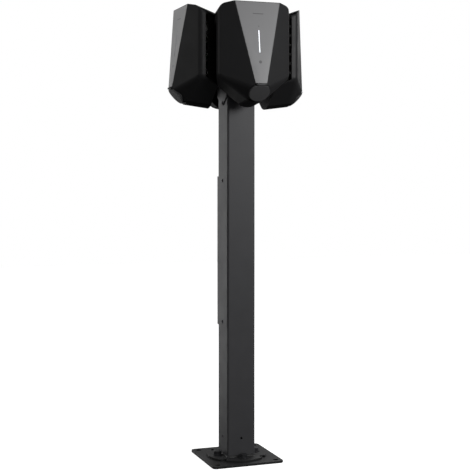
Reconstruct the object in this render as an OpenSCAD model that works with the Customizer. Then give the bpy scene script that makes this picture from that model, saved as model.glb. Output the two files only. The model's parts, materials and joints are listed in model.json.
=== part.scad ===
// Four-way ev charging post: a square steel post on a bolted foot, with four
// identical charging units back to back around a square head frame.
// Origin: centre of the foot's underside. +Z up, the front unit faces -Y.

/* [Foot] */
// Side of the square base plate
plate_w = 192; // [185:1:200]
// Thickness of the base plate
plate_t = 6; // [5:1:8]
// Corner radius of the base plate
plate_r = 10; // [6:1:14]
// Distance between anchor holes along each side
anchor_pitch = 158; // [150:1:162]
// Diameter of the anchor holes
anchor_d = 14; // [10:1:16]
// Radius of the round foot flange
flange_r = 78; // [74:1:82]
// Thickness of the round foot flange
flange_t = 5; // [4:1:8]
// Distance of the flange bolts from the post's axis
flange_bolt_at = 52; // [51:1:56]
// Radius of the cable entry through the foot
entry_r = 30; // [20:1:32]

/* [Post] */
// Side of the square post tube
post_w = 76; // [74:1:78]
// Wall of the post tube
post_wall = 3; // [2:0.5:4]
// Outer corner radius of the post tube
post_r = 5; // [4:0.5:7]
// Height of the post tube's top
post_top = 1124; // [1122:1:1126]
// Lower end of the hatch cover
hatch_low = 347; // [300:1:400]
// Upper end of the hatch cover
hatch_high = 738; // [650:1:780]
// Thickness of the hatch cover
hatch_t = 1.5; // [1:0.5:3]
// Distance from the hatch cover's ends to its screws
hatch_screw_in = 11; // [9:1:14]
// Height of the small drain holes near the foot
drain_z = 58; // [40:1:80]

/* [Head] */
// Side of the square head frame that carries the units
head_w = 148; // [146:1:150]
// Wall of the head frame
head_wall = 3; // [2:0.5:4]
// Height of the head frame's underside
head_low = 974; // [970:1:990]
// Height of the rounded tips of the four straps
strap_tip = 924; // [915:1:930]
// Height of the strap screws
strap_screw = 931; // [929:1:936]
// Thickness of the straps on the post's faces
strap_t = 2.5; // [2:0.5:4]

/* [Charging unit] */
// Height of the units' tops above the ground
unit_top = 1175; // [1173:1:1177]
// Width of a unit
unit_w = 193; // [190:1:196]
// Depth of the face at its top edge, from the unit's back
face_top = 79.7; // [78:0.1:82]
// Depth of the face at its lower edge
face_low = 107.1; // [106:0.1:109]
// Height of the face
face_h = 206.8; // [204:0.1:208]
// Width of the face at its top edge
face_top_w = 122.8; // [118:0.1:126]
// Width of the face at its lower edge
face_low_w = 32.8; // [30:0.1:36]
// Slope of the roof towards the back
roof_slope = 20; // [16:1:24]
// Height of the roof's edge band
roof_band = 7; // [6:0.5:9]
// Radius of the rounded shoulders
shoulder_r = 15; // [9:1:24]
// Depth at which the side walls' rear rim lies
rim = 43; // [41:1:45]
// Wall of the shell
shell_t = 3; // [2.5:0.5:3.5]
// Thickness of the faceplate
face_t = 2.5; // [2:0.5:3]
// Number of vent slots on each side
vents = 7; // [5:1:7]

/* [Socket] */
// Tilt of the socket cover from upright
socket_tilt = 42; // [40:1:44]
// Radius of the socket cover
cover_r = 26.5; // [26:0.1:27]
// Thickness of the socket cover
cover_t = 4; // [3:0.5:5]
// Radius of the cup that takes the plug
cup_r = 21.5; // [21:0.1:22]
// Depth of the cup behind its mouth
cup_depth = 20; // [18:1:21]
// Radius of the cover's hinge pin
hinge_r = 1.3; // [1:0.1:1.4]
// Radius of the locking pin
lock_r = 2; // [1.5:0.1:2.2]

/* [Hidden] */
$fn = 64;
SIDES = ["front", "right", "rear", "left"];
UNIT_PARTS = ["chassis", "shell", "faceplate", "light_guides", "seal", "board",
              "terminals", "socket", "contact_block", "socket_cover", "lock_pin"];
POST_PARTS = ["base_plate", "foot_flange", "foot_bolts", "post_tube", "hatch_cover",
              "hatch_seal", "post_screws", "head_frame", "head_cap", "cable_glands",
              "din_rail", "supply_terminals", "wall_plates", "hinge_pins"];

fit = 0.2;                 // gap between nested shells
slack = 0.05;              // radial clearance of a running pin
over = 1;                  // how far a cut runs past a surface
reach = 400;               // half side of the cubes used as half-spaces

// ---- foot and post ----
bolt_r = 5;
bolt_head_r = 10.4;
bolt_head_h = 8;
washer_r = 12.5;
washer_t = 2;
notch_r = 8;
notch_at = 74.5;
foot_top = plate_t + flange_t;
screw_r = 2.5;
screw_head_r = 4.5;
screw_head_h = 1.8;
screw_l = 12;
screw_socket_r = 1.7;
screw_socket_depth = 1.2;
hatch_seal_t = 0.5;
hatch_seal_in = 2;
hatch_seal_w = 6;
hatch_face = post_w / 2 + hatch_t + hatch_seal_t;
hatch_margin = 20;         // overlap of the hatch cover round its opening
hatch_window_w = 56;
strap_face = post_w / 2 + strap_t;
strap_tip_w = 26;
strap_in = 1;              // how far a strap's sides stay inside the post's width
strap_shoulder = strap_tip + 22;
frame_plate_t = 4;
head_high = post_top + 4;
cap_t = 5;
cap_dome = 6;
cap_steps = 3;
cap_step_in = 24;
head_r = 4;
cable_z = 1075;            // height of the cable glands
gland_r = 10;
gland_bore_r = 6.5;
gland_nut_r = 14.5;
gland_nut_t = 5;
post_port_r = 16;
rail_w = 35;
rail_t = 1.5;
rail_depth = 7.5;
rail_web = 12;             // distance of the rail's two webs from its middle
rail_low = hatch_low + 45;
rail_l = 300;
block_pitch = 12;
block_count = 12;
block = [30, 48, 11];      // depth, width and height of a terminal block
block_low = rail_low + 40;

// ---- charging unit: x across, -y forwards from its back, z down from its top ----
half_w = unit_w / 2;
face_tilt = atan((face_low - face_top) / face_h);
chamfer_in = 6;            // width of the narrow band between side and facet
facet_run = (face_low - face_top) / ((face_top_w - face_low_w) / 2);
facet_at = face_top + facet_run * face_top_w / 2;
facet_start = facet_at - facet_run * (half_w - chamfer_in);
side_end = facet_start - 9;
plate_back_t = 5;          // thickness of the wall plate behind a unit
wall_plate = [120, 170];   // width and height of the wall plate
wall_plate_low = -215;
plate_screw_x = 45;        // places of the wall plate's four screws
plate_screw_z = [-190, -70];
plate_sink = 2;            // depth of the recesses for their heads
taper_half = 77;           // half width of the chassis at the very back
tub_front = 58;            // depth of the chassis's front rim
tub_t = 2.5;
seal_t = 2;
belly_half = 25;
belly_r = 41;
belly_sag = 8.5;
belly_front = 70;
belly_top = -236;          // height above which the underside's opening ends
icon_y = -63.5;            // places and radii of the icon and the touch mark on the face
icon_r = 1.5;
touch_y = -154.3;
touch_r = 4;
strip_back = [belly_half, -10, -251];
strip_front = [belly_half, -71, -243];
crease_side = [half_w, -56, -187];
crease_nose = [belly_half, -(facet_at - facet_run * belly_half), -217];
middle = [0, -50, -120];   // a point well inside the unit

// ---- socket: z outwards from the cover's outer face, y up along it ----
cover_at = [0, -94.6, -230.2];
cover_gap = 0.4;
nose_z = -cover_t - cover_gap;
hinge_y = 24.2;
hinge_z = -3.3;
knuckle_r = 2.6;
knuckle_l = 18;
hinge_room = 0.5;          // room round the knuckle and at its ends
ear_at = knuckle_l / 2 + hinge_room;
ear_t = 3.4;
ear_w = 4;
arm_in = 3;                // how far the knuckle's arm runs under the cover
arm_t = 2.5;
cover_flat_y = 20.5;
collar_r = 27;
barrel_r = 24.3;
barrel_l = 45;
cup_floor = nose_z - cup_depth;
collar_l = 22;
lock_z = -20;
lock_tip = cup_r + 0.3;
lock_l = 9.7;
lock_block = [32, 10, 12];
contact_l = 14;

function unit_vector(v) = v / norm(v);
// A plane is [a point on it, its outward normal].
function outward(point, n) = (n * (point - middle)) < 0 ? -unit_vector(n) : unit_vector(n);
function through(a, b, c) = [a, outward(a, cross(b - a, c - a))];
function flipped(plane) = [[for (i = [0:2]) i == 0 ? -plane[0][i] : plane[0][i]],
                           [for (i = [0:2]) i == 0 ? -plane[1][i] : plane[1][i]]];

FACE = [[0, -face_top, 0], [0, -cos(face_tilt), sin(face_tilt)]];
STRIP = [strip_back, [0, -sin(face_tilt), -cos(face_tilt)]];
ROOF = [[0, -face_top, 0], [0, sin(roof_slope), cos(roof_slope)]];
NOSE = [cover_at + nose_z * [0, -sin(90 + socket_tilt), cos(90 + socket_tilt)],
        [0, -sin(90 + socket_tilt), cos(90 + socket_tilt)]];
FACET = [[half_w - chamfer_in, -facet_start, 0], unit_vector([facet_run, -1, 0])];
CHAMFER = [[half_w, -side_end, 0], unit_vector([facet_start - side_end, -chamfer_in, 0])];
SIDE_BEVEL = through(crease_side, strip_front, strip_back);
FRONT_BEVEL = through(crease_side, crease_nose, strip_front);
DIAGONAL = [[head_w / 2 - 1, 0, 0], unit_vector([1, 1, 0])];
TAPER = [[taper_half, 0, 0], unit_vector([rim, half_w - taper_half, 0])];

BOTTOM = [STRIP, SIDE_BEVEL, flipped(SIDE_BEVEL), FRONT_BEVEL, flipped(FRONT_BEVEL)];
FORM = concat([FACE, NOSE, FACET, flipped(FACET), CHAMFER, flipped(CHAMFER),
               DIAGONAL, flipped(DIAGONAL)], BOTTOM);

// ---------------------------------------------------------------- helpers
module at_unit(k) {
    rotate([0, 0, 90 * k]) translate([0, -head_w / 2, unit_top]) children();
}

module on_face() {
    translate([0, -face_top, 0]) rotate([90 - face_tilt, 0, 0]) children();
}

module at_socket() {
    translate(cover_at) rotate([90 + socket_tilt, 0, 0]) children();
}

// Everything behind a plane that is moved inwards by inset.
module behind(plane, inset) {
    n = plane[1];
    translate(plane[0] - inset * n)
        rotate([0, acos(n.z), atan2(n.y, n.x)])
            translate([-reach, -reach, -2 * reach]) cube(2 * reach);
}

module between_depths(from, to) {
    translate([-reach, -to, -reach]) cube([2 * reach, to - from, 2 * reach]);
}

// The long prism under the roof, with both shoulders rounded.
module under_roof(inset) {
    half = half_w - inset;
    r = shoulder_r - inset;
    translate([0, -face_top, 0]) rotate([90 - roof_slope, 0, 0]) translate([0, -inset, 0])
        linear_extrude(2 * reach, center = true) {
            translate([-half, -reach]) square([2 * half, reach - r]);
            translate([r - half, -reach]) square([2 * (half - r), reach]);
            for (side = [-1, 1]) translate([side * (half - r), -r]) circle(r);
        }
}

// The outer form of a unit, moved inwards by inset.
module form(inset) {
    intersection() {
        under_roof(inset);
        intersection_for (plane = FORM) behind(plane, inset);
    }
}

module tapered(inset) {
    intersection() {
        behind(TAPER, inset);
        behind(flipped(TAPER), inset);
        between_depths(0, reach);
    }
}

module bottom_form(inset) {
    intersection_for (plane = BOTTOM) behind(plane, inset);
}

// The rounded underside between the shell's two lower edges.
module belly(inset) {
    intersection() {
        translate(strip_back) rotate([90 - face_tilt, 0, 0])
            translate([-belly_half, belly_r - belly_sag, 0])
                cylinder(r = belly_r - inset, h = 2 * reach, center = true);
        translate([inset - belly_half + fit, -belly_front + inset, -reach])
            cube([2 * (belly_half - inset - fit), belly_front - plate_back_t - 2 * inset,
                  reach + belly_top]);
    }
}

// The shell's opening for the rounded underside.
module belly_gap() {
    translate([-belly_half, -belly_front, -reach])
        cube([2 * belly_half, belly_front, reach + belly_top]);
}

module rounded_square(side, r) {
    square([side, side - 2 * r], center = true);
    square([side - 2 * r, side], center = true);
    for (x = [-1, 1], y = [-1, 1]) translate([x, y] * (side / 2 - r)) circle(r);
}

// Four copies, one on each face of the post.
module each_face() {
    for (k = [0:3]) rotate([0, 0, 90 * k]) children();
}

// A pan-head screw along -z, its head above z = 0, with a hexagon recess.
module screw() {
    difference() {
        union() {
            cylinder(r = screw_head_r, h = screw_head_h);
            translate([0, 0, -screw_l]) cylinder(r = screw_r, h = screw_l + over / 2);
        }
        translate([0, 0, screw_head_h - screw_socket_depth])
            cylinder(r = screw_socket_r, h = screw_socket_depth + over, $fn = 6);
    }
}

// ---------------------------------------------------------------- foot and post
module base_plate() {
    color([0.16, 0.16, 0.17]) difference() {
        linear_extrude(plate_t) rounded_square(plate_w, plate_r);
        for (x = [-1, 1], y = [-1, 1])
            translate([x * anchor_pitch / 2, y * anchor_pitch / 2, -over])
                cylinder(d = anchor_d, h = plate_t + 2 * over);
        translate([0, 0, -over]) cylinder(r = entry_r, h = plate_t + 2 * over);
        each_face() translate([0, -flange_bolt_at, -over])
            cylinder(r = bolt_r, h = plate_t + 2 * over);
    }
}

module foot_flange() {
    color([0.14, 0.14, 0.15]) translate([0, 0, plate_t]) difference() {
        cylinder(r = flange_r, h = flange_t, $fn = 128);
        translate([0, 0, -over]) cylinder(r = entry_r, h = flange_t + 2 * over);
        each_face() {
            translate([0, -flange_bolt_at, -over]) cylinder(r = bolt_r, h = flange_t + 2 * over);
            rotate([0, 0, 45]) translate([0, -notch_at, -over])
                cylinder(r = notch_r, h = flange_t + 2 * over);
        }
    }
}

module foot_bolts() {
    color([0.1, 0.1, 0.11]) each_face() translate([0, -flange_bolt_at, foot_top]) {
        translate([0, 0, -foot_top]) cylinder(r = bolt_r, h = foot_top + over / 2);
        cylinder(r = washer_r, h = washer_t);
        translate([0, 0, washer_t - 0.01]) cylinder(r = bolt_head_r, h = bolt_head_h, $fn = 6);
    }
}

module post_tube() {
    window_low = hatch_low + hatch_margin;
    window_h = hatch_high - hatch_low - 2 * hatch_margin;
    color([0.28, 0.28, 0.29]) difference() {
        translate([0, 0, foot_top]) linear_extrude(post_top - foot_top) difference() {
            rounded_square(post_w, post_r);
            rounded_square(post_w - 2 * post_wall, post_r - post_wall);
        }
        translate([-post_w / 2 - over, -hatch_window_w / 2, window_low])
            cube([post_wall + 2 * over, hatch_window_w, window_h]);
        for (z = [hatch_low + hatch_screw_in, hatch_high - hatch_screw_in])
            translate([-post_w / 2 - over, 0, z]) rotate([0, 90, 0])
                cylinder(r = screw_r, h = post_wall + 2 * over);
        each_face() {
            for (hole = [[drain_z, 3], [strap_screw, screw_r], [cable_z, post_port_r]])
                translate([0, -post_w / 2 - over, hole[0]]) rotate([-90, 0, 0])
                    cylinder(r = hole[1], h = post_wall + 2 * over);
        }
    }
}

module hatch_outline(inset) {
    translate([-post_w / 2 + inset, hatch_low + inset])
        square([post_w - 2 * inset, hatch_high - hatch_low - 2 * inset]);
}

module hatch_holes() {
    for (z = [hatch_low + hatch_screw_in, hatch_high - hatch_screw_in])
        translate([0, z]) circle(screw_r);
}

module hatch_cover() {
    color([0.33, 0.33, 0.34]) translate([-hatch_face + hatch_t, 0, 0]) rotate([90, 0, -90])
        linear_extrude(hatch_t) difference() {
            hatch_outline(0);
            hatch_holes();
        }
}

module hatch_seal() {
    color([0.06, 0.06, 0.06]) translate([-post_w / 2, 0, 0]) rotate([90, 0, -90])
        linear_extrude(hatch_seal_t) difference() {
            hatch_outline(hatch_seal_in);
            hatch_outline(hatch_seal_in + hatch_seal_w);
        }
}

module post_screws() {
    color([0.08, 0.08, 0.09]) {
        for (z = [hatch_low + hatch_screw_in, hatch_high - hatch_screw_in])
            translate([-hatch_face, 0, z]) rotate([0, -90, 0]) screw();
        each_face() translate([0, -strap_face, strap_screw]) rotate([90, 0, 0]) screw();
        for (k = [0:3], x = [-1, 1], z = plate_screw_z)
            at_unit(k) translate([x * plate_screw_x, plate_sink - plate_back_t, z])
                rotate([90, 0, 0]) screw();
    }
}

// A strap on one face of the post: a wide plate with a rounded, tapering lower end.
module strap() {
    tip_r = strap_tip_w / 2;
    half = post_w / 2 - strap_in;
    translate([0, -post_w / 2, 0]) rotate([90, 0, 0]) linear_extrude(strap_t) difference() {
        union() {
            translate([0, strap_tip + tip_r]) circle(tip_r);
            polygon([[-half, head_low], [-half, strap_shoulder],
                     [-tip_r * 0.9, strap_tip + tip_r * 0.5], [tip_r * 0.9, strap_tip + tip_r * 0.5],
                     [half, strap_shoulder], [half, head_low]]);
        }
        translate([0, strap_screw]) circle(screw_r);
    }
}

module head_frame() {
    inner = head_w - 2 * head_wall;
    color([0.1, 0.1, 0.11]) {
        each_face() strap();
        difference() {
            union() {
                translate([0, 0, head_low]) linear_extrude(head_high - head_low) difference() {
                    rounded_square(head_w, head_r);
                    square(inner, center = true);
                }
                for (z = [head_low, post_top - frame_plate_t])
                    translate([0, 0, z]) linear_extrude(frame_plate_t) difference() {
                        square(inner, center = true);
                        rounded_square(post_w, post_r);
                    }
            }
            each_face() {
                translate([0, -head_w / 2 - over, cable_z]) rotate([-90, 0, 0])
                    cylinder(r = gland_r + fit, h = head_wall + 2 * over);
                for (x = [-1, 1], z = plate_screw_z)
                    translate([x * plate_screw_x, -head_w / 2 - over, unit_top + z])
                        rotate([-90, 0, 0]) cylinder(r = screw_r, h = head_wall + 2 * over);
            }
        }
    }
}

module head_cap() {
    side = head_w - 2;
    color([0.12, 0.12, 0.13]) translate([0, 0, head_high]) {
        linear_extrude(cap_t) rounded_square(side, head_r);
        for (i = [0:cap_steps - 1])
            translate([0, 0, cap_t + i * cap_dome / cap_steps])
                linear_extrude(cap_dome / cap_steps)
                    rounded_square(side - cap_step_in * (i + 1), head_r);
    }
}

module cable_glands() {
    inside = plate_back_t + tub_t;
    ends = 8;              // how far the gland's tube stands out at each end
    l = inside + head_wall + 2 * ends;
    color([0.2, 0.2, 0.21]) each_face() translate([0, -head_w / 2, cable_z]) rotate([90, 0, 0])
        difference() {
            union() {
                translate([0, 0, -head_wall - ends]) cylinder(r = gland_r, h = l);
                for (z = [-head_wall - gland_nut_t, inside])
                    translate([0, 0, z]) cylinder(r = gland_nut_r, h = gland_nut_t, $fn = 6);
            }
            translate([0, 0, -head_wall - ends - over])
                cylinder(r = gland_bore_r, h = l + 2 * over);
        }
}

module din_rail() {
    back = post_w / 2 - post_wall;
    color([0.7, 0.7, 0.72]) translate([back, 0, rail_low]) {
        translate([-rail_depth, -rail_w / 2, 0]) cube([rail_t, rail_w, rail_l]);
        for (y = [-1, 1]) translate([-rail_depth, y * rail_web - rail_t / 2, 0])
            cube([rail_depth, rail_t, rail_l]);
    }
}

module supply_terminals() {
    back = post_w / 2 - post_wall - rail_depth;
    hole_in = 8;
    color([0.55, 0.56, 0.58]) for (i = [0:block_count - 1])
        translate([back - block.x, -block.y / 2, block_low + i * block_pitch]) difference() {
            cube(block);
            for (y = [hole_in, block.y - hole_in])
                translate([-over, y, block.z / 2]) rotate([0, 90, 0])
                    cylinder(r = 3, h = block.x / 2);
        }
}

// ---------------------------------------------------------------- one charging unit
module wall_plates() {
    color([0.1, 0.1, 0.1]) for (k = [0:3]) at_unit(k) difference() {
        translate([-wall_plate.x / 2, -plate_back_t, wall_plate_low])
            cube([wall_plate.x, plate_back_t, wall_plate.y]);
        translate([0, over, cable_z - unit_top]) rotate([90, 0, 0])
            cylinder(r = gland_r + fit, h = plate_back_t + 2 * over);
        for (x = [-1, 1], z = plate_screw_z)
            translate([x * plate_screw_x, 0, z]) rotate([90, 0, 0]) {
                translate([0, 0, -over]) cylinder(r = screw_r, h = plate_back_t + 2 * over);
                translate([0, 0, plate_back_t - plate_sink])
                    cylinder(r = screw_head_r + fit, h = plate_sink + over);
            }
    }
}

// The hollow that the shell leaves for the chassis.
module cavity(inset) {
    intersection() {
        form(shell_t + inset);
        tapered(inset);
    }
}

module vent_slots() {
    pitch = 24;
    slot = [24, 6, 18];
    slot_x = 90;
    top = -28;
    behind_rim = 1.5;
    for (side = [-1, 1], i = [0:vents - 1])
        translate([side * slot_x - slot.x / 2, behind_rim - rim, top - slot.z - i * pitch])
            cube(slot);
}

module chassis() {
    color([0.05, 0.05, 0.05]) difference() {
        union() {
            intersection() {
                cavity(fit);
                between_depths(plate_back_t, tub_front);
            }
            belly(0);
        }
        intersection() {
            cavity(fit + tub_t);
            between_depths(plate_back_t + tub_t, tub_front + over);
        }
        belly(tub_t);
        vent_slots();
        at_socket() cylinder(r = collar_r + fit, h = 2 * reach, center = true);
        translate([0, 0, cable_z - unit_top]) rotate([90, 0, 0])
            cylinder(r = gland_r + fit, h = plate_back_t + tub_t + over);
    }
}

module hinge_bar(r, l) {
    translate([-l / 2, hinge_y, hinge_z]) rotate([0, 90, 0]) cylinder(r = r, h = l);
}

// The two ears on the socket's collar that hold the hinge pin.
module hinge_ears(gap) {
    w = ear_w + 2 * gap;
    t = ear_t + 2 * gap;
    for (side = [-1, 1]) translate([side * (ear_at + ear_t / 2), 0, 0]) {
        hinge_bar(knuckle_r + gap, t);
        translate([-t / 2, hinge_y - w / 2, nose_z - ear_w - gap])
            cube([t, w, hinge_z - nose_z + ear_w + gap]);
    }
}

// Room that the faceplate needs at the front of the shell.
module face_seat() {
    intersection() {
        translate([-reach, -reach, -face_h]) cube([2 * reach, reach, reach]);
        difference() {
            form(-over);
            behind(FACE, face_t);
        }
    }
}

module shell() {
    color([0.13, 0.13, 0.14]) difference() {
        intersection() {
            form(0);
            between_depths(plate_back_t, reach);
            union() {
                between_depths(rim, reach);
                difference() {
                    between_depths(0, rim);
                    behind(ROOF, roof_band);
                }
                difference() {
                    tapered(0);
                    bottom_form(shell_t);
                }
            }
        }
        cavity(0);
        belly_gap();
        face_seat();
        at_socket() {
            translate([0, 0, nose_z - collar_l - fit])
                cylinder(r = collar_r + fit, h = collar_l + fit + over);
            hinge_ears(fit);
            lock_room(fit);
        }
    }
}

module faceplate() {
    color([0.5, 0.5, 0.5]) difference() {
        intersection() {
            form(0);
            translate([-reach, -reach, -face_h + fit]) cube([2 * reach, reach, reach]);
        }
        behind(FACE, face_t);
        light_marks(0);
    }
}

// Prisms of the light strip, the icon above it and the touch mark below it.
module light_marks(gap) {
    depth = face_t + 2 * over;
    strip_half = 27.3;
    strip_y = -101.8;
    strip_r = 1.5;
    on_face() translate([0, 0, -face_t - over]) {
        translate([gap - strip_r, strip_y - strip_half, 0])
            cube([2 * (strip_r - gap), 2 * strip_half, depth]);
        for (mark = [[strip_y - strip_half, strip_r], [strip_y + strip_half, strip_r],
                     [icon_y, icon_r], [touch_y, touch_r]])
            translate([0, mark[0], 0]) cylinder(r = mark[1] - gap, h = depth);
    }
}

module light_guides() {
    color([0.92, 0.94, 0.95]) difference() {
        intersection() {
            light_marks(slack);
            behind(FACE, 0);
        }
        behind(FACE, face_t);
    }
}

module seal() {
    color([0.08, 0.08, 0.08]) difference() {
        intersection() {
            cavity(fit);
            between_depths(tub_front, tub_front + seal_t);
        }
        cavity(fit + tub_t);
        at_socket() cylinder(r = collar_r + fit, h = 2 * reach, center = true);
        belly_gap();
    }
}

module board() {
    at = 18;               // depth of the board's back
    t = 1.6;
    size = [120, 130];
    low = -175;
    post_in = 8;           // how far the board's four posts stand in from its edges
    relay = [44, 22, 32];
    module_box = [30, 14, 44];
    capacitor = [8, 24];   // radius and length
    color([0.05, 0.3, 0.14]) translate([0, -at, low]) {
        translate([-size.x / 2, -t, 0]) cube([size.x, t, size.y]);
        for (x = [-1, 1] * (size.x / 2 - post_in), z = [post_in, size.y - post_in])
            translate([x, 0, z]) rotate([-90, 0, 0])
                cylinder(r = 4, h = at - plate_back_t - tub_t);
        for (x = [-48, 4]) translate([x, -t - relay.y, 15]) cube(relay);
        translate([-48, -t - module_box.y, 63]) cube(module_box);
        for (i = [0:2]) translate([22 * i - 5, -t, 83]) rotate([90, 0, 0])
            cylinder(r = capacitor[0], h = capacitor[1]);
    }
}

module terminals() {
    count = 5;
    pitch = 15;
    h = 22;
    front = 31;            // depth of the block's front
    low = -204;
    wire_r = 3.5;
    screw_hole = [3, 10];  // radius and depth of the holes over the clamp screws
    color([0.75, 0.76, 0.78]) translate([-count * pitch / 2, -front, low]) difference() {
        cube([count * pitch, front - plate_back_t - tub_t, h]);
        for (i = [0:count - 1]) translate([(i + 0.5) * pitch, 0, 0]) {
            translate([0, 6, 9]) cylinder(r = wire_r, h = h);
            translate([0, -over, h / 2]) rotate([-90, 0, 0])
                cylinder(r = screw_hole[0], h = screw_hole[1] + over);
        }
    }
}

// Room for the locking pin's housing at the side of the socket.
module lock_room(gap) {
    translate([0, -lock_block.y / 2 - gap, lock_z - lock_block.z / 2 - gap])
        cube([lock_block.x + gap, lock_block.y + 2 * gap, lock_block.z + 2 * gap]);
}

// Places of the two signal and five power contacts of the round socket.
CONTACTS = [[-6, 9.5, 1.7], [6, 9.5, 1.7], [-12.4, 0.5, 2.9], [0, 0.5, 2.9],
            [12.4, 0.5, 2.9], [-6.7, -10.5, 2.9], [6.7, -10.5, 2.9]];

// The cup that takes the plug, with a wider collar in the shell's nose.
module socket() {
    color([0.16, 0.16, 0.17]) difference() {
        at_socket() difference() {
            union() {
                translate([0, 0, nose_z - barrel_l]) cylinder(r = barrel_r, h = barrel_l);
                translate([0, 0, nose_z - collar_l]) cylinder(r = collar_r, h = collar_l);
                hinge_ears(0);
                lock_room(0);
            }
            translate([0, 0, nose_z - barrel_l - over])
                cylinder(r = cup_r, h = barrel_l + 2 * over);
            hinge_bar(knuckle_r + hinge_room, 2 * ear_at);
            hinge_bar(hinge_r, 2 * (ear_at + ear_t) + over);
            translate([0, 0, lock_z]) rotate([0, 90, 0])
                cylinder(r = lock_r + slack, h = lock_block.x + over);
        }
        face_seat();
    }
}

module contact_block() {
    color([0.14, 0.14, 0.15]) at_socket() difference() {
        translate([0, 0, nose_z - barrel_l]) cylinder(r = cup_r, h = barrel_l - cup_depth);
        for (c = CONTACTS) translate([c.x, c.y, cup_floor - contact_l])
            cylinder(r = c.z, h = contact_l + over);
    }
}

module socket_cover() {
    color([0.19, 0.19, 0.2]) at_socket() difference() {
        union() {
            difference() {
                translate([0, 0, -cover_t]) cylinder(r = cover_r, h = cover_t);
                translate([-cover_r, cover_flat_y, -cover_t - over])
                    cube([2 * cover_r, cover_r, cover_t + 2 * over]);
            }
            translate([-knuckle_l / 2, cover_flat_y - arm_in, -cover_t])
                cube([knuckle_l, hinge_y - cover_flat_y + arm_in, arm_t]);
            hinge_bar(knuckle_r, knuckle_l);
        }
        hinge_bar(hinge_r + slack, knuckle_l + over);
    }
}

module hinge_pins() {
    color([0.6, 0.6, 0.62]) for (k = [0:3]) at_unit(k) at_socket()
        hinge_bar(hinge_r, 2 * (ear_at + ear_t));
}

module lock_pin() {
    color([0.6, 0.6, 0.62]) at_socket() translate([lock_tip, 0, lock_z]) rotate([0, 90, 0])
        cylinder(r = lock_r, h = lock_l);
}

// ---------------------------------------------------------------- assembly
base_plate();
foot_flange();
foot_bolts();
post_tube();
hatch_cover();
hatch_seal();
post_screws();
head_frame();
head_cap();
cable_glands();
din_rail();
supply_terminals();
wall_plates();
hinge_pins();
for (k = [0:3]) at_unit(k) {
    chassis();
    shell();
    faceplate();
    light_guides();
    seal();
    board();
    terminals();
    socket();
    contact_block();
    socket_cover();
    lock_pin();
}
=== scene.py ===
"""Looks of the four-way ev charging post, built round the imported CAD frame."""

import json
import math

import bmesh
import bpy
from mathutils import Matrix, Vector


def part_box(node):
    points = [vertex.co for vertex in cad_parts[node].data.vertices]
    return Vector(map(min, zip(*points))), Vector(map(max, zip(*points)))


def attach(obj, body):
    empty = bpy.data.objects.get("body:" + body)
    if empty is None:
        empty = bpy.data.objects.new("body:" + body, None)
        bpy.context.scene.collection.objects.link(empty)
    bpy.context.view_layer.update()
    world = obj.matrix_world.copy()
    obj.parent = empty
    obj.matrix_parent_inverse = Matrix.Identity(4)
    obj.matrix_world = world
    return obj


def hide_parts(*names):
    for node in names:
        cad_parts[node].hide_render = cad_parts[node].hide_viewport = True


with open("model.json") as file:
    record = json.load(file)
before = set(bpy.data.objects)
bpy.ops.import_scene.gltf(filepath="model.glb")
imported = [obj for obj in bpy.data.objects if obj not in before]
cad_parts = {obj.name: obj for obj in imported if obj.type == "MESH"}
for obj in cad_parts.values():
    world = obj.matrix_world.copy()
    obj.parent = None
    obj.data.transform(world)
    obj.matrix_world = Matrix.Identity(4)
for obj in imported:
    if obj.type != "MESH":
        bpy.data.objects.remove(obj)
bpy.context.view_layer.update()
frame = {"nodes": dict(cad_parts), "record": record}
scene = bpy.context.scene

SIDES = ("front", "right", "rear", "left")
MM = 0.001
FAR = 300  # mm, past the end of every piece that is cut
ON_PLANE = 1e-7  # m, points this near a cutting plane lie on it

# Values of a charging unit in mm, as in the CAD: x across, y backwards, z up from its top.
UNIT_BACK = 74
UNIT_TOP = 1175
HALF_W = 96.5
FACE_TOP = 79.7
FACE_LOW = 107.1
FACE_H = 206.8
HALF_TOP = 61.4
HALF_LOW = 16.4
ROOF_SLOPE = math.radians(20)
ROOF_BAND = 7
SHOULDER_R = 15
RIM = 43
SHELL_T = 3
BLUNT_DEPTH = 7
FACE_T = 2.5
BACK = 5
BELLY_HALF = 25
BELLY_FRONT = 70
BELLY_TOP = -236
TAPER_HALF = 77
MIDDLE = Vector((0, -50, -120))

SOCKET_AT = Vector((0, -94.6, -230.2))
SOCKET_TILT = math.radians(132)
NOSE_Z = -4.4
COLLAR_R = 27
BARREL_R = 24.3
BARREL_L = 45
COVER_R = 26.5
COVER_T = 4
COVER_FLAT = 20.5
COLLAR_L = 22
HINGE_ROOM = 0.5
EAR_W = 4
FIT = 0.2
PLATE_RIM = 0.9
PLATE_GAP = 0.25
PLATE_END_GAP = 0.3
LIGHT_GAP = 0.05
CREASE = 8
HINGE_Y = 24.2
HINGE_Z = -3.3
HINGE_R = 1.35
KNUCKLE_R = 2.6
KNUCKLE_L = 18
EAR_T = 3.4
LOCK_Z = -20
LOCK_BORE_R = 2.05
LOCK_HOUSING = ((BARREL_R - 1, -5, -26), (32, 5, -14))
CUP_R = 21.5
CUP_DEPTH = 20
# Contact holes of the cup: x, y and radius.
CONTACTS = ((-6, 9.5, 1.7), (6, 9.5, 1.7), (-12.4, 0.5, 2.9), (0, 0.5, 2.9), (12.4, 0.5, 2.9),
            (-6.7, -10.5, 2.9), (6.7, -10.5, 2.9))

# Lit and printed marks of the face: radius, half the length between their ends' middles, place down the face.
LIGHTS = {"strip": (1.45, 27.3, -101.8), "icon": (1.45, 0, -63.5), "touch": (3.95, 0, -154.3)}
FACE_BAR = ((-14, -32.5, -0.3), (14, -30.5, 0.1))

FACE_TILT = math.atan((FACE_LOW - FACE_TOP) / FACE_H)
RUN = (FACE_LOW - FACE_TOP) / (HALF_TOP - HALF_LOW)
FACET_W = FACE_TOP + RUN * HALF_TOP
BOLT_CIRCLE_R = 52


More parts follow.
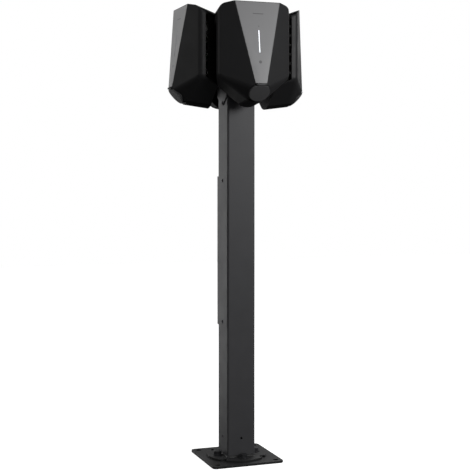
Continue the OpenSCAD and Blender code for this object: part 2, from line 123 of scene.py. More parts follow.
# ---------------------------------------------------------------- mesh helpers
def new_object(name, bm):
    """An object in the scene from a bmesh, which it uses up."""
    mesh = bpy.data.meshes.new(name)
    bm.to_mesh(mesh)
    bm.free()
    piece = bpy.data.objects.new(name, mesh)
    scene.collection.objects.link(piece)
    return piece


def applied(piece):
    """Turns the piece's modifiers into mesh."""
    graph = bpy.context.evaluated_depsgraph_get()
    mesh = bpy.data.meshes.new_from_object(piece.evaluated_get(graph))
    piece.modifiers.clear()
    piece.data = mesh
    return piece


def boolean(piece, cutter, operation):
    """Cuts, joins or intersects a piece with another, which it uses up."""
    m = piece.modifiers.new("cut", "BOOLEAN")
    m.operation = operation
    m.object = cutter
    m.solver = "EXACT"
    applied(piece)
    bpy.data.objects.remove(cutter)
    return piece


def cleaned(piece):
    """Merges close points, dissolves flat edges and drops edges without a face."""
    merge, flat = 0.02 * MM, 0.5
    bm = bmesh.new()
    bm.from_mesh(piece.data)
    bmesh.ops.remove_doubles(bm, verts=bm.verts, dist=merge)
    bmesh.ops.dissolve_limit(bm, angle_limit=math.radians(flat), verts=bm.verts, edges=bm.edges)
    bmesh.ops.dissolve_degenerate(bm, edges=bm.edges, dist=merge)
    bmesh.ops.delete(bm, geom=[e for e in bm.edges if not e.link_faces], context="EDGES")
    bmesh.ops.recalc_face_normals(bm, faces=bm.faces)
    bm.to_mesh(piece.data)
    bm.free()
    return piece


def without_crumbs(piece, smallest=100):
    """Deletes loose bits of fewer points than this, which cuts leave behind."""
    bm = bmesh.new()
    bm.from_mesh(piece.data)
    seen, crumbs = set(), []
    for start in bm.verts:
        if start in seen:
            continue
        seen.add(start)
        island = [start]
        for vert in island:
            fresh = {e.other_vert(vert) for e in vert.link_edges} - seen
            seen |= fresh
            island += fresh
        if len(island) < smallest:
            crumbs += island
    bmesh.ops.delete(bm, geom=crumbs, context="VERTS")
    bm.to_mesh(piece.data)
    bm.free()
    return piece


def rounded(piece, width, segments=2, angle=35):
    """Softens every sharp edge by a small width in mm."""
    m = piece.modifiers.new("soft", "BEVEL")
    m.width = width * MM
    m.segments = segments
    m.limit_method = "ANGLE"
    m.angle_limit = math.radians(angle)
    m.use_clamp_overlap = False
    m.miter_outer = "MITER_ARC"
    return applied(piece)


def shaded(piece, angle=32):
    """Smooth shading, with sharp edges above the angle."""
    bm = bmesh.new()
    bm.from_mesh(piece.data)
    for face in bm.faces:
        face.smooth = True
    for edge in bm.edges:
        edge.smooth = not (edge.is_manifold and edge.calc_face_angle() > math.radians(angle))
    bm.to_mesh(piece.data)
    bm.free()
    return piece


def flat_faces(piece):
    """Keeps wide faces flat in smooth shading."""
    m = piece.modifiers.new("flat", "WEIGHTED_NORMAL")
    m.keep_sharp = True
    m.weight = 80
    return piece


def cut_off(bm, point, normal):
    """Removes what is beyond a plane and closes the cut."""
    cut = bmesh.ops.bisect_plane(bm, geom=bm.verts[:] + bm.edges[:] + bm.faces[:], dist=ON_PLANE,
                                 plane_co=Vector(point) * MM, plane_no=normal, clear_outer=True)
    rim = [g for g in cut["geom_cut"] if isinstance(g, bmesh.types.BMEdge)]
    bmesh.ops.edgenet_fill(bm, edges=rim)


def cut_by(piece, plane):
    """Keeps what is behind the plane and closes the cut."""
    bm = bmesh.new()
    bm.from_mesh(piece.data)
    cut_off(bm, *plane)
    bmesh.ops.recalc_face_normals(bm, faces=bm.faces)
    bm.to_mesh(piece.data)
    bm.free()
    return piece


def cut_away(piece, *meshes):
    for bm in meshes:
        boolean(piece, new_object("cut", bm), "DIFFERENCE")
    return piece


def joined(piece, *meshes):
    for bm in meshes:
        boolean(piece, new_object("joined", bm), "UNION")
    return piece


def convex(planes):
    """The solid behind all these planes, each a point in mm and an outward normal."""
    bm = bmesh.new()
    bmesh.ops.create_cube(bm, size=1.0)
    for point, normal in planes:
        cut_off(bm, point, normal)
    bmesh.ops.recalc_face_normals(bm, faces=bm.faces)
    return bm


def box(low, high):
    """The upright box between two corners in mm."""
    axes = [Vector(row) for row in Matrix.Identity(3)]
    return convex([(corner[i] * axes[i], sign * axes[i])
                   for corner, sign in ((low, -1), (high, 1)) for i in range(3)])


def bridge(bm, rings):
    """Joins each ring of points to the next with a band of faces."""
    for a, b in zip(rings, rings[1:]):
        for i in range(len(a)):
            j = (i + 1) % len(a)
            bm.faces.new((a[i], a[j], b[j], b[i]))


def lathe(profile, steps):
    """A turned solid round z from a profile of (radius, height) in mm.

    The profile runs from the axis to the axis, or else it closes on itself as a ring.
    """
    bm = bmesh.new()
    rings = []
    for r, z in profile:
        if r == 0:
            rings.append([bm.verts.new((0, 0, z * MM))])
        else:
            rings.append([bm.verts.new((r * MM * math.cos(a), r * MM * math.sin(a), z * MM))
                          for a in (2 * math.pi * i / steps for i in range(steps))])
    if profile[0][0]:
        rings.append(rings[0])
    for a, b in zip(rings, rings[1:]):
        for i in range(steps):
            j = (i + 1) % steps
            if len(a) == 1:
                bm.faces.new((a[0], b[i], b[j]))
            elif len(b) == 1:
                bm.faces.new((a[i], b[0], a[j]))
            else:
                bm.faces.new((a[i], b[i], b[j], a[j]))
    bmesh.ops.recalc_face_normals(bm, faces=bm.faces)
    return bm


def cylinder(r, low, high, steps):
    return lathe([(0, low), (r, low), (r, high), (0, high)], steps)


def arc(cx, cz, r, start, end, steps):
    """Points of an arc of a profile; angles in degrees from the outward direction, up positive."""
    return [(cx + r * math.cos(math.radians(start + (end - start) * i / steps)),
             cz + r * math.sin(math.radians(start + (end - start) * i / steps)))
            for i in range(steps + 1)]


def moved(bm, matrix):
    bmesh.ops.transform(bm, matrix=matrix, verts=bm.verts)
    return bm


def at_unit(k):
    """The place of unit k, counted from the front one anticlockwise."""
    return (Matrix.Rotation(math.radians(90 * k), 4, "Z")
            @ Matrix.Translation((0, -UNIT_BACK * MM, UNIT_TOP * MM)))


AT_SOCKET = Matrix.Translation(SOCKET_AT * MM) @ Matrix.Rotation(SOCKET_TILT, 4, "X")
AT_FACE = (Matrix.Translation((0, -FACE_TOP * MM, 0))
           @ Matrix.Rotation(math.radians(90) - FACE_TILT, 4, "X"))
ALONG_X = Matrix.Rotation(math.radians(90), 4, "Y")


# ---------------------------------------------------------------- planes of a unit
def outward(point, normal):
    """A plane through the point, its normal turned away from the middle of the unit."""
    n = Vector(normal).normalized()
    return (Vector(point), -n if n.dot(Vector(point) - MIDDLE) < 0 else n)


def through(a, b, c):
    """The plane through three points."""
    a, b, c = Vector(a), Vector(b), Vector(c)
    return outward(a, (b - a).cross(c - a))


def flipped(plane):
    """The mirror image of the plane, on the unit's other side."""
    return tuple(Vector((-v.x, v.y, v.z)) for v in plane)


def inset(plane, depth):
    """The plane moved inwards."""
    return plane[0] - plane[1] * depth, plane[1]


def beyond(plane):
    """The same plane, keeping what is in front of it."""
    return plane[0], -plane[1]


def both(plane):
    """The plane and its mirror image."""
    return [plane, flipped(plane)]


def facet_y(x):
    """Where the facet's plane is at this x, level with the unit's top."""
    return -(FACET_W - RUN * x)


FACE = outward((0, -FACE_TOP, 0), (0, -math.cos(FACE_TILT), math.sin(FACE_TILT)))
ROOF = outward((0, -FACE_TOP, 0), (0, math.sin(ROOF_SLOPE), math.cos(ROOF_SLOPE)))
HIP = (HALF_W, -56, -187)
STRIP_FRONT = (BELLY_HALF, -71, -243)
STRIP_BACK = (BELLY_HALF, -10, -251)
FRONT_BEVEL_TOP = -217
STRIP = outward((0, *STRIP_BACK[1:]), (0, -math.sin(FACE_TILT), -math.cos(FACE_TILT)))
NOSE_N = Vector((0, -math.sin(SOCKET_TILT), math.cos(SOCKET_TILT)))
NOSE = (SOCKET_AT + NOSE_Z * NOSE_N, NOSE_N)
SIDE = outward((HALF_W, -50, 0), (1, 0, 0))
FACET = outward((HALF_TOP, -FACE_TOP, 0), (RUN, -1, 0))
SIDE_BEVEL = through(HIP, STRIP_FRONT, STRIP_BACK)
# The corner where side, facet and both bevels meet, and a plane across it that blunts the inside there.
CORNER_DROP = SIDE_BEVEL[1].y * (facet_y(HALF_W) - HIP[1]) / SIDE_BEVEL[1].z
CORNER = (HALF_W, facet_y(HALF_W), HIP[2] - CORNER_DROP)
FRONT_BEVEL = through(CORNER, (BELLY_HALF, facet_y(BELLY_HALF), FRONT_BEVEL_TOP), STRIP_FRONT)
BLUNT = outward(CORNER, SIDE[1] + FACET[1] + SIDE_BEVEL[1] + FRONT_BEVEL[1])
DIAGONAL = outward((UNIT_BACK - 1, 0, 0), (1, 1, 0))
TAPER = outward((TAPER_HALF, 0, 0), (RIM, HALF_W - TAPER_HALF, 0))
BACK_PLANE = outward((0, -BACK, 0), (0, 1, 0))
# The room the faceplate takes up: in front of its back and above its lower end.
SEAT = [beyond(inset(FACE, FACE_T)), outward((0, 0, -FACE_H), (0, 0, -1))]
# Pairs of planes with a soft crease between them.
SOFT_EDGES = {("facet", "side"), ("side", "side_bevel"), ("facet", "front_bevel"),
              ("front_bevel", "side_bevel")}


def soft_form():
    """The unit's outer form with its soft creases, still open-ended where sharp planes will cut it."""
    kinds = {"side": both(SIDE), "facet": both(FACET), "side_bevel": both(SIDE_BEVEL),
             "front_bevel": both(FRONT_BEVEL)}
    bm = convex([p for planes in kinds.values() for p in planes]
                + [outward((0, 20, 0), (0, 1, 0)), outward((0, 0, 60), (0, 0, 1))])
    kind_of = {}
    for face in bm.faces:
        for kind, planes in kinds.items():
            for plane in planes:
                if face.normal.dot(plane[1]) > 0.9999:
                    kind_of[face] = kind
    weight = bm.edges.layers.float.new("bevel_weight_edge")
    for edge in bm.edges:
        pair = tuple(sorted(kind_of.get(f, "none") for f in edge.link_faces))
        edge[weight] = float(pair in SOFT_EDGES)
    piece = new_object("form", bm)
    m = piece.modifiers.new("soft", "BEVEL")
    m.limit_method = "WEIGHT"
    m.width = CREASE * MM
    m.segments = 8
    m.use_clamp_overlap = False
    return applied(piece)


def under_roof():
    """The long prism under the roof, with both shoulders rounded."""
    bm = bmesh.new()
    half, r = HALF_W, SHOULDER_R
    outline = [(half, -FAR)] + arc(half - r, -r, r, 0, 90, 12)
    outline += [(-x, z) for x, z in reversed(outline)]
    turn = Matrix.Translation((0, -FACE_TOP * MM, 0)) @ Matrix.Rotation(-ROOF_SLOPE, 4, "X")
    ends = [[bm.verts.new(turn @ Vector((x * MM, y * MM, z * MM))) for x, z in outline]
            for y in (-FAR, FAR)]
    bm.faces.new(ends[0])
    bm.faces.new(reversed(ends[1]))
    for i in range(len(outline)):
        j = (i + 1) % len(outline)
        bm.faces.new((ends[0][j], ends[0][i], ends[1][i], ends[1][j]))
    bmesh.ops.recalc_face_normals(bm, faces=bm.faces)
    return new_object("roof", bm)


def hinge_bar(r, x0, x1):
    """A bar along the hinge of the socket's cover."""
    return moved(cylinder(r, x0, x1, 32),
                 AT_SOCKET @ Matrix.Translation((0, HINGE_Y * MM, HINGE_Z * MM)) @ ALONG_X)


def ear_shapes(gap):
    """The two ears that hold the hinge pin."""
    at = KNUCKLE_L / 2 + HINGE_ROOM
    for side in (-1, 1):
        x0, x1 = sorted((side * (at - gap), side * (at + EAR_T + gap)))
        yield hinge_bar(KNUCKLE_R + gap, x0, x1)
        half = EAR_W / 2 + gap
        yield moved(box((x0, HINGE_Y - half, NOSE_Z - EAR_W - gap), (x1, HINGE_Y + half, HINGE_Z)),
                    AT_SOCKET)


def make_shell():
    """The dark moulding: hollow, open at the back and underneath, with room for the faceplate."""
    shell = boolean(soft_form(), under_roof(), "INTERSECT")
    for plane in [FACE, STRIP, NOSE, *both(DIAGONAL), BACK_PLANE]:
        cut_by(shell, plane)
    below_band = inset(ROOF, ROOF_BAND)
    behind_rim = (Vector((0, -RIM, 0)), Vector((0, -1, 0)))
    past_back = (Vector((0, 10, 0)), Vector((0, 1, 0)))
    bevels = [*both(SIDE_BEVEL), *both(FRONT_BEVEL)]
    inside_bottom = [inset(p, SHELL_T) for p in (STRIP, *bevels)]
    cavity = [inset(p, SHELL_T) for p in (FACE, ROOF, STRIP, NOSE, *both(SIDE), *both(FACET), *bevels)]
    cavity += [*both(inset(BLUNT, BLUNT_DEPTH)), *both(TAPER), past_back]
    cut_away(shell, convex([below_band, behind_rim, *inside_bottom]),
             convex([below_band, behind_rim, beyond(TAPER)]),
             convex([below_band, behind_rim, beyond(flipped(TAPER))]),
             convex(cavity),
             box((-BELLY_HALF, -BELLY_FRONT, -FAR), (BELLY_HALF, 20, BELLY_TOP)))
    # seat of the faceplate, inside a slim rim
    cut_away(shell, convex([*SEAT, *[inset(p, PLATE_RIM) for p in both(FACET)], inset(ROOF, PLATE_RIM)]))
    # opening for the socket's collar
    cut_away(shell, moved(cylinder(COLLAR_R + FIT, NOSE_Z - COLLAR_L, 2, 96), AT_SOCKET),
             *ear_shapes(FIT))
    return shaded(without_crumbs(rounded(cleaned(shell), 0.4)))


def make_faceplate():
    """The lighter plate, a little smaller than its seat, with holes for its lights and marks."""
    gap = PLATE_RIM + PLATE_GAP
    plate = new_object("plate", convex(
        [FACE, SEAT[0], outward((0, 0, -FACE_H + PLATE_END_GAP), (0, 0, -1)),
         *[inset(p, gap) for p in both(FACET)], inset(ROOF, gap)]))
    rounded(plate, 0.5, 3)
    cut_away(plate, *[moved(slot_prism(r + LIGHT_GAP, half, y), AT_FACE) for r, half, y in LIGHTS.values()])
    return shaded(cleaned(plate))


def slot_prism(r, half, y, low=-5, high=5):
    """A prism with rounded ends on the face: half is half the distance between the ends' middles."""
    bm = bmesh.new()
    outline = ([(x, half + z) for x, z in arc(0, 0, r, 0, 180, 16)]
               + [(x, z - half) for x, z in arc(0, 0, r, 180, 360, 16)])
    if half == 0:
        outline = outline[:16] + outline[17:33]
    rings = [[bm.verts.new((x * MM, (y + z) * MM, h * MM)) for x, z in outline] for h in (low, high)]
    bridge(bm, rings)
    bm.faces.new(list(reversed(rings[0])))
    bm.faces.new(rings[1])
    bmesh.ops.recalc_face_normals(bm, faces=bm.faces)
    return bm


def make_light(kind, sunk):
    """A light or mark in its hole, its front this far below the face in mm."""
    r, half, y = LIGHTS[kind]
    light = new_object(kind, slot_prism(r, half, y, -FACE_T, -sunk))
    rounded(light, 0.25, 3)
    light.data.transform(AT_FACE)
    return shaded(light)


def make_bar():
    """A plain thin bar near the top of the face."""
    bar = new_object("bar", box(*FACE_BAR))
    rounded(bar, 0.1, 2)
    bar.data.transform(AT_FACE)
    return shaded(bar)


def make_socket():
    """The plug socket: barrel, collar, cup, hinge ears and the lock's housing."""
    low, shoulder, r, chamfer = NOSE_Z - BARREL_L, NOSE_Z - COLLAR_L, 0.6, 0.4
    profile = [(BARREL_R, low), (BARREL_R, shoulder), (COLLAR_R - chamfer, shoulder),
               (COLLAR_R, shoulder + chamfer), *arc(COLLAR_R - r, NOSE_Z - r, r, 0, 90, 4),
               *arc(CUP_R + r, NOSE_Z - r, r, 90, 180, 4), (CUP_R, low)]
    socket = new_object("socket", moved(lathe(profile, 96), AT_SOCKET))
    joined(socket, *ear_shapes(0), moved(box(*LOCK_HOUSING), AT_SOCKET))
    at = KNUCKLE_L / 2 + HINGE_ROOM
    bore = moved(cylinder(LOCK_BORE_R, 0, 40, 24),
                 AT_SOCKET @ Matrix.Translation((0, 0, LOCK_Z * MM)) @ ALONG_X)
    cut_away(socket, hinge_bar(KNUCKLE_R + HINGE_ROOM, -at, at),
             hinge_bar(HINGE_R, -at - EAR_T - 1, at + EAR_T + 1), bore, convex(SEAT))
    return shaded(cleaned(socket))


def make_contact_block():
    """The insulating block at the bottom of the cup, its middle raised a little and its contact holes
    chamfered at the mouth.
    """
    low, floor = NOSE_Z - BARREL_L, NOSE_Z - CUP_DEPTH
    profile = [(0, low), (CUP_R, low), (CUP_R, floor), (CUP_R - 1.2, floor), (CUP_R - 1.8, floor + 0.5),
               (0, floor + 0.5)]
    block = new_object("block", lathe(profile, 96))
    for x, y, r in CONTACTS:
        hole = lathe([(0, floor - 14), (r, floor - 14), (r, floor - 0.2), (r + 0.7, floor + 0.5),
                      (r + 0.7, floor + 2), (0, floor + 2)], 24)
        cut_away(block, moved(hole, Matrix.Translation((x * MM, y * MM, 0))))
    block.data.transform(AT_SOCKET)
    return shaded(cleaned(block))


def make_sleeves():
    """Metal sleeves inside the contact holes."""
    floor = NOSE_Z - CUP_DEPTH
    bm = bmesh.new()
    for x, y, r in CONTACTS:
        ring = lathe([(r - 0.02, floor - 13), (r - 0.02, floor - 2.2), (r - 0.25, floor - 2),
                      (r - 0.6, floor - 2.2), (r - 0.6, floor - 13)], 24)
        moved(ring, AT_SOCKET @ Matrix.Translation((x * MM, y * MM, 0)))
        part = bpy.data.meshes.new("ring")
        ring.to_mesh(part)
        ring.free()
        bm.from_mesh(part)
    return shaded(new_object("sleeves", bm))


def make_cover():
    """The socket's cover: a shallow dome with a rounded rim, a flattened top and a hinge knuckle."""
    t, r = COVER_T, 1.1
    crown = [(x, -0.5 * (x / (COVER_R - r)) ** 2) for x in (0, 5, 10, 15, 20, 23)]
    profile = [(0, -t + 0.9), (18.5, -t + 0.9), (19.3, -t), (COVER_R - 0.4, -t), (COVER_R, -t + 0.4),
               *arc(COVER_R - r, -0.5 - r, r, 0, 90, 6), *reversed(crown)]
    cover = new_object("cover", lathe(profile, 128))
    cut_by(cover, (Vector((0, COVER_FLAT, 0)), Vector((0, 1, 0))))
    rounded(cover, 0.35, 2, 60)
    half = KNUCKLE_L / 2
    arm_half = half - 0.3
    joined(cover, box((-arm_half, COVER_FLAT - 3, -t), (arm_half, HINGE_Y, -t + 2.5)))
    cover.data.transform(AT_SOCKET)
    joined(cover, hinge_bar(KNUCKLE_R, -half, half))
    cut_away(cover, hinge_bar(HINGE_R, -half - 1, half + 1))
    return shaded(cleaned(cover))


def softened(name, width):
    """A copy of a CAD node with its sharp edges softened, which stands for the node."""
    piece = bpy.data.objects.new(name + "_form", frame["nodes"][name].data.copy())
    scene.collection.objects.link(piece)
    piece.data.materials.clear()
    return flat_faces(shaded(rounded(cleaned(piece), width)))


def hex_bolt(bm, x, y, z):
    """A flange bolt: washer, chamfered hexagon head and a slight dish on top."""
    steps, chamfer = 48, math.tan(math.radians(30))
    washer_r, washer_h, edge = 12.5, 2.0, 0.4
    apothem, head_h = 9.0, 8.0
    flat_r, top = apothem * 0.94, washer_h + head_h

    def hexagon(a):
        return apothem / math.cos((a % (math.pi / 3)) - math.pi / 6)

    def ring(radius, height):
        """Points round the bolt; radius and height are numbers or functions of the angle."""
        out = []
        for i in range(steps):
            a = 2 * math.pi * i / steps
            r, up = [value(a) if callable(value) else value for value in (radius, height)]
            out.append(bm.verts.new(((x + r * math.cos(a)) * MM, (y + r * math.sin(a)) * MM, (z + up) * MM)))
        return out

    rings = [ring(washer_r, 0), ring(washer_r, washer_h - edge), ring(washer_r - edge, washer_h),
             ring(hexagon, washer_h), ring(hexagon, lambda a: top - (hexagon(a) - flat_r) * chamfer),
             ring(flat_r, top), ring(flat_r * 0.8, top - edge)]
    bridge(bm, rings)
    bm.faces.new(rings[-1])
    bm.faces.new(list(reversed(rings[0])))


def square_ring(bm, side, r, z):
    """Points round a square with rounded corners."""
    corner, half, out = 6, side / 2 - r, []
    for q in range(4):
        cx, cy = half * (1, -1, -1, 1)[q], half * (1, 1, -1, -1)[q]
        for i in range(corner + 1):
            a = math.radians(90 * (q + i / corner))
            out.append(bm.verts.new(((cx + r * math.cos(a)) * MM, (cy + r * math.sin(a)) * MM, z * MM)))
    return out


def make_lid():
    """The lid over the head frame, crowned towards its middle."""
    low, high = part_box("head_cap")
    z0, top, side = low.z / MM, high.z / MM, (high.x - low.x) / MM
    bm = bmesh.new()
    rise = top - z0 - 5
    levels = [(side, 4, z0), (side, 4, z0 + 4.2), (side - 0.5, 4, z0 + 4.8), (side - 2, 4, z0 + 5)]
    levels += [(side * (1 - t) - 2, 4 * (1 - t) + 2, z0 + 5 + rise * math.sin(t * math.pi / 2))
               for t in (0.08, 0.16, 0.26, 0.38, 0.52, 0.68, 0.84)]
    rings = [square_ring(bm, *level) for level in levels]
    bridge(bm, rings)
    bm.faces.new(list(reversed(rings[0])))
    bm.faces.new(rings[-1])
    bmesh.ops.recalc_face_normals(bm, faces=bm.faces)
    return shaded(new_object("head_lid", bm))


def make_weld():
    """The fillet weld round the post's foot, with its ripples."""
    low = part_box("post_tube")[0]
    side, r, z, size = -2 * low.x / MM, 5.0, low.z / MM, 4.0
    straight, bend, per_side, ripples = side - 2 * r, math.pi * r / 2, 90, 22.5
    bm, rings = bmesh.new(), []
    total = 4 * (straight + bend)
    for i in range(4 * per_side):
        s = total * i / (4 * per_side)
        q, s = divmod(s, straight + bend)
        turn = Matrix.Rotation(math.radians(90 * q), 3, "Z")
        if s < straight:
            base, n = Vector((s - straight / 2, -side / 2, 0)), Vector((0, -1, 0))
        else:
            a = math.radians(90) * (s - straight) / bend
            n = Vector((math.sin(a), -math.cos(a), 0))
            base = Vector((side / 2 - r, r - side / 2, 0)) + n * r
        ripple = 1 + 0.07 * math.sin(i * 2 * math.pi * ripples / per_side) + 0.04 * math.sin(i * 0.37)
        leg = size * ripple
        section = [(-0.3, -0.3), (leg, -0.3), (leg, 0.05), (leg * 0.62, leg * 0.42), (leg * 0.36, leg * 0.7),
                   (0.05, leg), (-0.3, leg)]
        rings.append([bm.verts.new((turn @ (base + n * out) + Vector((0, 0, z + up))) * MM)
                      for out, up in section])
    bridge(bm, rings + rings[:1])
    bmesh.ops.recalc_face_normals(bm, faces=bm.faces)
    return shaded(new_object("foot_weld", bm), 50)


# ---------------------------------------------------------------- materials
CLOUD_MM = 45
# Size of the patches and width of the lightened edges, partly wear and partly painted highlight.
WEAR_AND_HIGHLIGHT_PATCH_MM = 6
WORN_AND_HIGHLIT_EDGE_MM = 0.8
ROUGH_BY_CLOUD = 0.16
ROUGH_BY_GRAIN = 0.06
COLOURS = {m["slot"]: m["base_color"] for m in frame["record"]["materials"]}
SLOT_OF = {p["node"]: p["material_slot"] for p in frame["record"]["subparts"]}
FINISH = {
    # slot: roughness, metallic, specular, grain size mm, grain depth mm, mottling, edge wear and painted edge
    # highlight
    "powder_coat": (0.46, 0.0, 0.35, 0.9, 0.035, 0.10, 0.35),
    "foot_coat": (0.45, 0.0, 0.4, 0.9, 0.035, 0.10, 0.35),
    "black_steel": (0.38, 0.7, 0.5, 0.5, 0.01, 0.15, 0.30),
    "unit_shell": (0.50, 0.0, 0.32, 0.7, 0.030, 0.08, 0.15),
    "unit_face": (0.40, 0.0, 0.5, 0.35, 0.008, 0.04, 0.05),
    "unit_black": (0.60, 0.0, 0.20, 0.7, 0.030, 0.08, 0.10),
    "cover_grey": (0.60, 0.0, 0.45, 0.5, 0.020, 0.06, 0.10),
    "socket_black": (0.50, 0.0, 0.45, 0.5, 0.015, 0.06, 0.10),
    "light_guide": (0.25, 0.0, 0.5, 0.4, 0.004, 0.02, 0.0),
    "rubber": (0.75, 0.0, 0.3, 0.8, 0.030, 0.10, 0.0),
    "circuit_board": (0.35, 0.0, 0.5, 1.2, 0.010, 0.20, 0.0),
    "grey_plastic": (0.50, 0.0, 0.5, 0.6, 0.015, 0.06, 0.0),
    "steel": (0.28, 1.0, 0.5, 0.3, 0.003, 0.10, 0.0),
    "zinc": (0.40, 1.0, 0.5, 2.5, 0.005, 0.25, 0.0),
}


def node(tree, kind, **values):
    """A new shader node with these settings."""
    n = tree.nodes.new("ShaderNode" + kind)
    for key, value in values.items():
        setattr(n, key, value)
    return n


def feed(tree, socket, value):
    """Links or sets a node's input."""
    if isinstance(value, bpy.types.NodeSocket):
        tree.links.new(value, socket)
    else:
        socket.default_value = value


def maths(tree, operation, a, b, clamp=False):
    n = node(tree, "Math", operation=operation, use_clamp=clamp)
    feed(tree, n.inputs[0], a)
    feed(tree, n.inputs[1], b)
    return n.outputs[0]


def noise(tree, place, size_mm, detail=3.0):
    """Noise whose features are about this size."""
    n = node(tree, "TexNoise")
    tree.links.new(place, n.inputs["Vector"])
    n.inputs["Scale"].default_value = 1 / (size_mm * MM)
    n.inputs["Detail"].default_value = detail
    return n.outputs["Fac"]


def edge_mask(tree, radius_mm):
    """1 along sharp outer edges and 0 on faces, from a rounded copy of the surface's normal."""
    soft = node(tree, "Bevel", samples=6)
    soft.inputs["Radius"].default_value = radius_mm * MM
    real = node(tree, "NewGeometry")
    dot = node(tree, "VectorMath", operation="DOT_PRODUCT")
    tree.links.new(soft.outputs[0], dot.inputs[0])
    tree.links.new(real.outputs["Normal"], dot.inputs[1])
    spread = node(tree, "MapRange")
    spread.inputs["From Min"].default_value = 0.995
    spread.inputs["From Max"].default_value = 0.85
    tree.links.new(dot.outputs["Value"], spread.inputs["Value"])
    return spread.outputs["Result"]


def finish_material(slot, name=None, colour=None, glow=None):
    """A slot's material: mottled colour, edges lightened partly as wear and partly as a painted highlight,
    uneven roughness and a fine grain.
    """
    rough, metallic, specular, grain, depth, mottling, wear_and_highlight = FINISH[slot]
    colour = colour or COLOURS[slot]
    m = bpy.data.materials.new(name or slot)
    m.use_nodes = True
    tree = m.node_tree
    shader = tree.nodes["Principled BSDF"]
    place = node(tree, "TexCoord").outputs["Object"]
    cloud = noise(tree, place, CLOUD_MM, 4)
    fine = noise(tree, place, grain, 2)
    tint = maths(tree, "MULTIPLY_ADD", cloud, 2 * mottling)
    tint.node.inputs[2].default_value = 1 - mottling
    mix = node(tree, "Mix", data_type="RGBA", blend_type="MULTIPLY")
    mix.inputs["Factor"].default_value = 1
    mix.inputs["A"].default_value = (*colour, 1)
    tree.links.new(tint, mix.inputs["B"])
    shade = mix.outputs["Result"]
    # Lighter colour along sharp edges, partly wear and partly a painted edge highlight.
    if wear_and_highlight:
        worn_and_highlit = node(tree, "Mix", data_type="RGBA")
        edge = edge_mask(tree, WORN_AND_HIGHLIT_EDGE_MM)
        patches = maths(tree, "MULTIPLY", noise(tree, place, WEAR_AND_HIGHLIGHT_PATCH_MM), wear_and_highlight)
        mask = maths(tree, "MULTIPLY", edge, patches, True)
        tree.links.new(mask, worn_and_highlit.inputs["Factor"])
        tree.links.new(shade, worn_and_highlit.inputs["A"])
        worn_and_highlit.inputs["B"].default_value = (*[min(1, 3.0 * c + 0.03) for c in colour], 1)
        shade = worn_and_highlit.outputs["Result"]
    tree.links.new(shade, shader.inputs["Base Color"])
    spread = maths(tree, "MULTIPLY_ADD", cloud, ROUGH_BY_CLOUD)
    spread.node.inputs[2].default_value = rough - ROUGH_BY_CLOUD / 2
    varied = maths(tree, "MULTIPLY_ADD", fine, ROUGH_BY_GRAIN)
    tree.links.new(spread, varied.node.inputs[2])
    tree.links.new(varied, shader.inputs["Roughness"])
    shader.inputs["Metallic"].default_value = metallic
    shader.inputs["Specular IOR Level"].default_value = specular
    bump = node(tree, "Bump")
    bump.inputs["Strength"].default_value = 1
    bump.inputs["Distance"].default_value = depth * MM
    tree.links.new(fine, bump.inputs["Height"])
    tree.links.new(bump.outputs["Normal"], shader.inputs["Normal"])
    if glow:
        shader.inputs["Emission Color"].default_value = (*colour, 1)
        shader.inputs["Emission Strength"].default_value = glow
    return m


MATERIALS = {slot: finish_material(slot) for slot in FINISH}
MATERIALS["strip"] = finish_material("light_guide", "light_strip", (0.92, 0.95, 1.0), glow=0.9)
MATERIALS["mark"] = finish_material("unit_face", "face_mark", (0.09, 0.09, 0.094))


def dress(piece, slot, body="post", material=None, nodes=()):
    """Gives a piece the material of its slot and its body, and hides the CAD nodes it stands for."""
    piece.data.materials.clear()
    piece.data.materials.append(MATERIALS[material or slot])
    for face in piece.data.polygons:
        face.material_index = 0
    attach(piece, body)
    if nodes:
        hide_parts(*nodes)
    return piece


def on_units(master, name, slot, part=None, body=None, material=None):
    """Puts a copy of a unit's piece, made in the unit's own axes, on each of the four units."""
    for k, side in enumerate(SIDES):
        mesh = master.data.copy()
        mesh.transform(at_unit(k))
        piece = bpy.data.objects.new(f"{side}_{name}", mesh)
        scene.collection.objects.link(piece)
        flat_faces(piece)
        dress(piece, slot, f"{side}_{body}" if body else "post", material,
              [f"{side}_{part}"] if part else ())
    bpy.data.objects.remove(master)


# ---------------------------------------------------------------- pieces
on_units(make_shell(), "shell_moulding", "unit_shell", "shell")
on_units(make_faceplate(), "face_panel", "unit_face", "faceplate")
on_units(make_light("strip", 0.9), "light_strip", "light_guide", "light_guides", material="strip")
on_units(make_light("icon", 0.1), "face_icon", "unit_face", material="mark")
on_units(make_light("touch", 0.1), "touch_mark", "unit_face", material="mark")
on_units(make_bar(), "face_bar", "unit_face", material="mark")
on_units(make_socket(), "socket_body", "socket_black", "socket")
on_units(make_contact_block(), "contact_insert", "socket_black", "contact_block")
on_units(make_sleeves(), "contact_sleeves", "steel")
on_units(make_cover(), "cover_disc", "cover_grey", "socket_cover", "cover")

for side in SIDES:
    dress(softened(f"{side}_chassis", 0.4), "unit_black", nodes=[f"{side}_chassis"])
for part, width in {"base_plate": 0.8, "foot_flange": 0.6, "post_tube": 0.3, "hatch_cover": 0.4,
                    "head_frame": 0.5}.items():
    dress(softened(part, width), SLOT_OF[part], nodes=[part])
dress(softened("post_screws", 0.25), "black_steel", nodes=["post_screws"])
dress(flat_faces(make_lid()), "unit_black", nodes=["head_cap"])
dress(make_weld(), "foot_coat")
bolts = bmesh.new()
for x, y in ((0, -1), (1, 0), (0, 1), (-1, 0)):
    hex_bolt(bolts, BOLT_CIRCLE_R * x, BOLT_CIRCLE_R * y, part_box("foot_flange")[1].z / MM)
bmesh.ops.recalc_face_normals(bolts, faces=bolts.faces)
dress(flat_faces(shaded(new_object("foot_bolt_heads", bolts), 25)), "black_steel", nodes=["foot_bolts"])

for name, cad in frame["nodes"].items():
    cad.data.materials.clear()
    cad.data.materials.append(MATERIALS[SLOT_OF[name]])

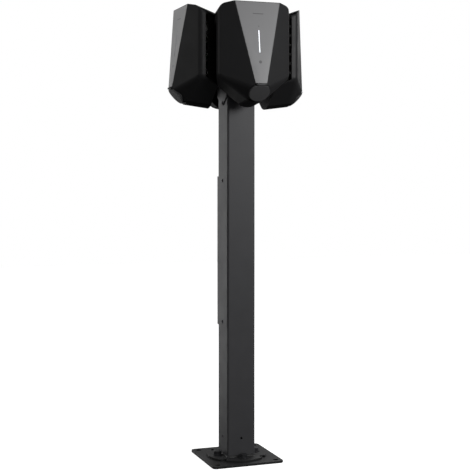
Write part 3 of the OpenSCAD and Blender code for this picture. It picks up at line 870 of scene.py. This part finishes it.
# ---------------------------------------------------------------- floor, light and camera
floor = bmesh.new()
bmesh.ops.create_grid(floor, x_segments=1, y_segments=1, size=6)
ground = new_object("floor", floor)
ground_material = bpy.data.materials.new("floor")
ground_material.use_nodes = True
ground_shader = ground_material.node_tree.nodes["Principled BSDF"]
ground_shader.inputs["Base Color"].default_value = (0.9, 0.9, 0.9, 1)
ground_shader.inputs["Roughness"].default_value = 0.9
ground_shader.inputs["Emission Color"].default_value = (1, 1, 1, 1)
ground_shader.inputs["Emission Strength"].default_value = 0.85
ground.data.materials.append(ground_material)
ground.visible_diffuse = False
ground.visible_glossy = False


def area_light(name, azimuth, elevation, distance, size, power, target):
    """A soft lamp that looks at the target in m; azimuth 0 is the front and 90 the right."""
    data = bpy.data.lights.new(name, "AREA")
    data.shape = "RECTANGLE"
    data.size, data.size_y = size
    data.energy = power
    lamp = bpy.data.objects.new(name, data)
    scene.collection.objects.link(lamp)
    a, e = math.radians(azimuth), math.radians(elevation)
    back = Vector((math.sin(a) * math.cos(e), -math.cos(a) * math.cos(e), math.sin(e)))
    lamp.location = Vector(target) + back * distance
    lamp.rotation_euler = back.to_track_quat("Z", "Y").to_euler()
    lamp.visible_camera = False


area_light("front", 34, 7, 2.0, (1.0, 0.8), 25, (0, 0, 1.12))
area_light("side", -100, 12, 2.6, (0.7, 1.0), 5, (0, 0, 1.0))
area_light("backdrop", -160, 3, 3.0, (1.2, 2.8), 16, (0, 0, 0.7))
area_light("back_right", 140, 25, 2.6, (1.2, 1.6), 12, (0, 0, 0.9))

# The camera sees a white room, which lights the object only softly and mostly from above.
world = bpy.data.worlds.new("world")
scene.world = world
world.use_nodes = True
sky = world.node_tree
room = sky.nodes["Background"]
room.inputs["Color"].default_value = (1, 1, 1, 1)
height = node(sky, "SeparateXYZ")
sky.links.new(node(sky, "TexCoord").outputs["Generated"], height.inputs[0])
glow = node(sky, "MapRange", interpolation_type="SMOOTHSTEP")
for key, value in {"From Min": -0.5, "From Max": 0.8, "To Min": 0.06, "To Max": 0.26}.items():
    glow.inputs[key].default_value = value
sky.links.new(height.outputs["Z"], glow.inputs["Value"])
sky.links.new(glow.outputs["Result"], room.inputs["Strength"])
white = node(sky, "Background")
white.inputs["Color"].default_value = (1, 1, 1, 1)
seen = node(sky, "MixShader")
sky.links.new(node(sky, "LightPath").outputs["Is Camera Ray"], seen.inputs["Fac"])
sky.links.new(room.outputs[0], seen.inputs[1])
sky.links.new(white.outputs[0], seen.inputs[2])
sky.links.new(seen.outputs[0], sky.nodes["World Output"].inputs["Surface"])
scene.view_settings.view_transform = "Standard"

AZIMUTH = 20.005
camera_data = bpy.data.cameras.new("camera")
camera = bpy.data.objects.new("camera", camera_data)
scene.collection.objects.link(camera)
scene.camera = camera
camera_data.sensor_width = 36
camera_data.lens = 82.09
camera_data.shift_y = -0.1274
camera.location = (-0.9682, -2.6485, 0.7414)
camera.rotation_euler = (math.radians(90), 0, -math.radians(AZIMUTH))
